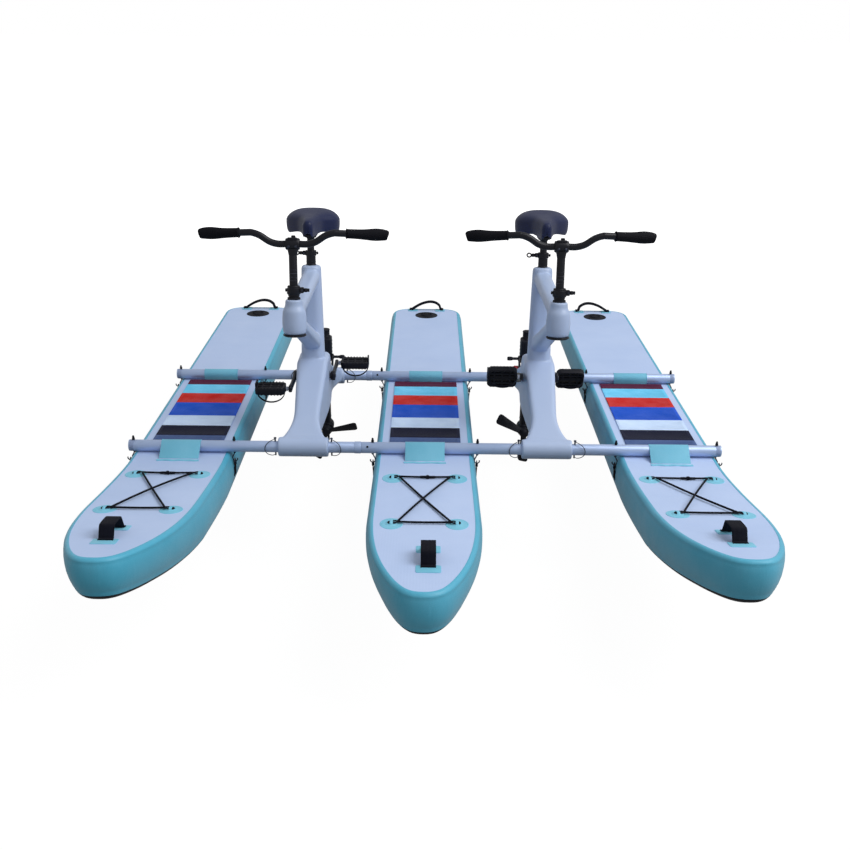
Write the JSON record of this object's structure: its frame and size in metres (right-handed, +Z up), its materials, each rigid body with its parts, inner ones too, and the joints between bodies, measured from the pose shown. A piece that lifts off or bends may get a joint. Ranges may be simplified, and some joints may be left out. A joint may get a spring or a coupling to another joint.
{
  "type": "water bike",
  "caption": "Side-by-side pedal water bike: slim inflatable pontoons joined by cross beams, with upright bike frames that turn steerable, tilting propeller legs.",
  "frame": {"origin": "middle of the flat bottom of the middle pontoon", "axes": "+Z up, -Y towards the bow, +X to the right as seen from the bow; left and right in names are as seen from the bow"},
  "size_m": [2.1904, 3.2658, 1.2386],
  "materials": {
    "pontoon": "satin",
    "deck_pad": "matte",
    "cord": "matte",
    "webbing": "matte",
    "sleeve": "satin",
    "beam": "satin",
    "frame": "gloss",
    "black_metal": "satin",
    "steel": "satin",
    "saddle": "satin",
    "black_plastic": "satin",
    "red_plastic": "gloss"
  },
  "bodies": {
    "craft": {"pontoon_left": "pontoon", "deck_pad_left": "deck_pad", "bungee_cord_left": "cord", "bow_handle_left": "webbing", "front_sleeve_left": "sleeve", "rear_sleeve_left": "sleeve", "pontoon_middle": "pontoon", "deck_pad_middle": "deck_pad", "bungee_cord_middle": "cord", "bow_handle_middle": "webbing", "front_sleeve_middle": "sleeve", "rear_sleeve_middle": "sleeve", "pontoon_right": "pontoon", "deck_pad_right": "deck_pad", "bungee_cord_right": "cord", "bow_handle_right": "webbing", "front_sleeve_right": "sleeve", "rear_sleeve_right": "sleeve", "front_beam_left": "beam", "front_beam_right": "beam", "rear_beam_left": "beam", "rear_beam_right": "beam", "frame_left": "frame", "drive_bracket_left": "black_metal", "bottom_bracket_left": "steel", "seat_clamp_left": "black_metal", "frame_right": "frame", "drive_bracket_right": "black_metal", "bottom_bracket_right": "steel", "seat_clamp_right": "black_metal"},
    "seat_left": {"seat_post_left": "black_metal", "saddle_left": "saddle"},
    "seat_lever_left": {"seat_lever_left": "black_metal"},
    "steering_left": {"steerer_left": "black_metal"},
    "bars_left": {"bar_post_left": "black_metal", "handlebar_left": "black_metal"},
    "bar_lever_left": {"bar_lever_left": "black_metal"},
    "crank_left": {"crank_set_left": "black_metal"},
    "pedal_plus_left": {"pedal_plus_x_left": "black_plastic"},
    "pedal_minus_left": {"pedal_minus_x_left": "black_plastic"},
    "drive_head_left": {"drive_head_left": "black_metal"},
    "drive_leg_left": {"drive_leg_left": "black_plastic"},
    "drive_shaft_left": {"drive_shaft_left": "steel"},
    "propeller_left": {"propeller_left": "black_plastic"},
    "lock_knob_left": {"lock_knob_left": "red_plastic"},
    "seat_right": {"seat_post_right": "black_metal", "saddle_right": "saddle"},
    "seat_lever_right": {"seat_lever_right": "black_metal"},
    "steering_right": {"steerer_right": "black_metal"},
    "bars_right": {"bar_post_right": "black_metal", "handlebar_right": "black_metal"},
    "bar_lever_right": {"bar_lever_right": "black_metal"},
    "crank_right": {"crank_set_right": "black_metal"},
    "pedal_plus_right": {"pedal_plus_x_right": "black_plastic"},
    "pedal_minus_right": {"pedal_minus_x_right": "black_plastic"},
    "drive_head_right": {"drive_head_right": "black_metal"},
    "drive_leg_right": {"drive_leg_right": "black_plastic"},
    "drive_shaft_right": {"drive_shaft_right": "steel"},
    "propeller_right": {"propeller_right": "black_plastic"},
    "lock_knob_right": {"lock_knob_right": "red_plastic"}
  },
  "joints": [
    {"name": "steering_left", "type": "hinge", "parent": "craft", "child": "steering_left", "pos_m": [-0.45, -0.595, 0.699], "axis": [0, 0.1219, 0.9925], "range_deg": [-45, 45]},
    {"name": "bar_height_left", "type": "slide", "parent": "steering_left", "child": "bars_left", "axis": [0, 0.1219, 0.9925], "range_m": [-0.045, 0.06]},
    {"name": "bar_lever_left", "type": "hinge", "parent": "steering_left", "child": "bar_lever_left", "pos_m": [-0.4097, -0.584, 0.78863], "axis": [0, 0.1219, 0.9925], "range_deg": [0, 85]},
    {"name": "seat_height_left", "type": "slide", "parent": "craft", "child": "seat_left", "axis": [0, 0.0872, 0.9962], "range_m": [-0.045, 0.08]},
    {"name": "seat_lever_left", "type": "hinge", "parent": "craft", "child": "seat_lever_left", "pos_m": [-0.4883, 0.00301, 0.79082], "axis": [0, 0.0872, 0.9962], "range_deg": [-85, 0]},
    {"name": "crank_left", "type": "hinge", "parent": "craft", "child": "crank_left", "pos_m": [-0.45, -0.015, 0.3], "axis": [1, 0, 0], "continuous": true},
    {"name": "pedal_plus_left", "type": "hinge", "parent": "crank_left", "child": "pedal_plus_left", "pos_m": [-0.3, 0.155, 0.3], "axis": [1, 0, 0], "continuous": true},
    {"name": "pedal_minus_left", "type": "hinge", "parent": "crank_left", "child": "pedal_minus_left", "pos_m": [-0.6, -0.185, 0.3], "axis": [1, 0, 0], "continuous": true},
    {"name": "drive_tilt_left", "type": "hinge", "parent": "craft", "child": "drive_head_left", "pos_m": [-0.45, 0.45, 0.235], "axis": [1, 0, 0], "range_deg": [0, 90]},
    {"name": "drive_swivel_left", "type": "hinge", "parent": "drive_head_left", "child": "drive_leg_left", "pos_m": [-0.45, 0.49, 0.25], "axis": [0, 0, 1], "range_deg": [-45, 45]},
    {"name": "drive_shaft_left", "type": "hinge", "parent": "drive_leg_left", "child": "drive_shaft_left", "pos_m": [-0.45, 0.49, 0.1], "axis": [0, 0, 1], "continuous": true},
    {"name": "propeller_left", "type": "hinge", "parent": "drive_leg_left", "child": "propeller_left", "pos_m": [-0.45, 0.4297, -0.11], "axis": [0, 1, 0], "continuous": true},
    {"name": "lock_knob_left", "type": "hinge", "parent": "craft", "child": "lock_knob_left", "pos_m": [-0.488, 0.431, 0.1932], "axis": [1, 0, 0], "range_deg": [0, 360]},
    {"name": "steering_right", "type": "hinge", "parent": "craft", "child": "steering_right", "pos_m": [0.45, -0.595, 0.699], "axis": [0, 0.1219, 0.9925], "range_deg": [-45, 45]},
    {"name": "bar_height_right", "type": "slide", "parent": "steering_right", "child": "bars_right", "axis": [0, 0.1219, 0.9925], "range_m": [-0.045, 0.06]},
    {"name": "bar_lever_right", "type": "hinge", "parent": "steering_right", "child": "bar_lever_right", "pos_m": [0.4903, -0.584, 0.78863], "axis": [0, 0.1219, 0.9925], "range_deg": [0, 85]},
    {"name": "seat_height_right", "type": "slide", "parent": "craft", "child": "seat_right", "axis": [0, 0.0872, 0.9962], "range_m": [-0.045, 0.08]},
    {"name": "seat_lever_right", "type": "hinge", "parent": "craft", "child": "seat_lever_right", "pos_m": [0.4117, 0.00301, 0.79082], "axis": [0, 0.0872, 0.9962], "range_deg": [-85, 0]},
    {"name": "crank_right", "type": "hinge", "parent": "craft", "child": "crank_right", "pos_m": [0.45, -0.015, 0.3], "axis": [1, 0, 0], "continuous": true},
    {"name": "pedal_plus_right", "type": "hinge", "parent": "crank_right", "child": "pedal_plus_right", "pos_m": [0.6, 0.14574, 0.24465], "axis": [1, 0, 0], "continuous": true},
    {"name": "pedal_minus_right", "type": "hinge", "parent": "crank_right", "child": "pedal_minus_right", "pos_m": [0.3, -0.17574, 0.35535], "axis": [1, 0, 0], "continuous": true},
    {"name": "drive_tilt_right", "type": "hinge", "parent": "craft", "child": "drive_head_right", "pos_m": [0.45, 0.45, 0.235], "axis": [1, 0, 0], "range_deg": [0, 90]},
    {"name": "drive_swivel_right", "type": "hinge", "parent": "drive_head_right", "child": "drive_leg_right", "pos_m": [0.45, 0.49, 0.25], "axis": [0, 0, 1], "range_deg": [-45, 45]},
    {"name": "drive_shaft_right", "type": "hinge", "parent": "drive_leg_right", "child": "drive_shaft_right", "pos_m": [0.45, 0.49, 0.1], "axis": [0, 0, 1], "continuous": true},
    {"name": "propeller_right", "type": "hinge", "parent": "drive_leg_right", "child": "propeller_right", "pos_m": [0.45, 0.4297, -0.11], "axis": [0, 1, 0], "continuous": true},
    {"name": "lock_knob_right", "type": "hinge", "parent": "craft", "child": "lock_knob_right", "pos_m": [0.412, 0.431, 0.1932], "axis": [1, 0, 0], "range_deg": [0, 360]}
  ],
  "couplings": [
    {"joint": "drive_swivel_left", "follows": "steering_left", "ratio": -1},
    {"joint": "drive_shaft_left", "follows": "crank_left", "ratio": 4},
    {"joint": "propeller_left", "follows": "crank_left", "ratio": 8},
    {"joint": "drive_swivel_right", "follows": "steering_right", "ratio": -1},
    {"joint": "drive_shaft_right", "follows": "crank_right", "ratio": 4},
    {"joint": "propeller_right", "follows": "crank_right", "ratio": 8}
  ]
}
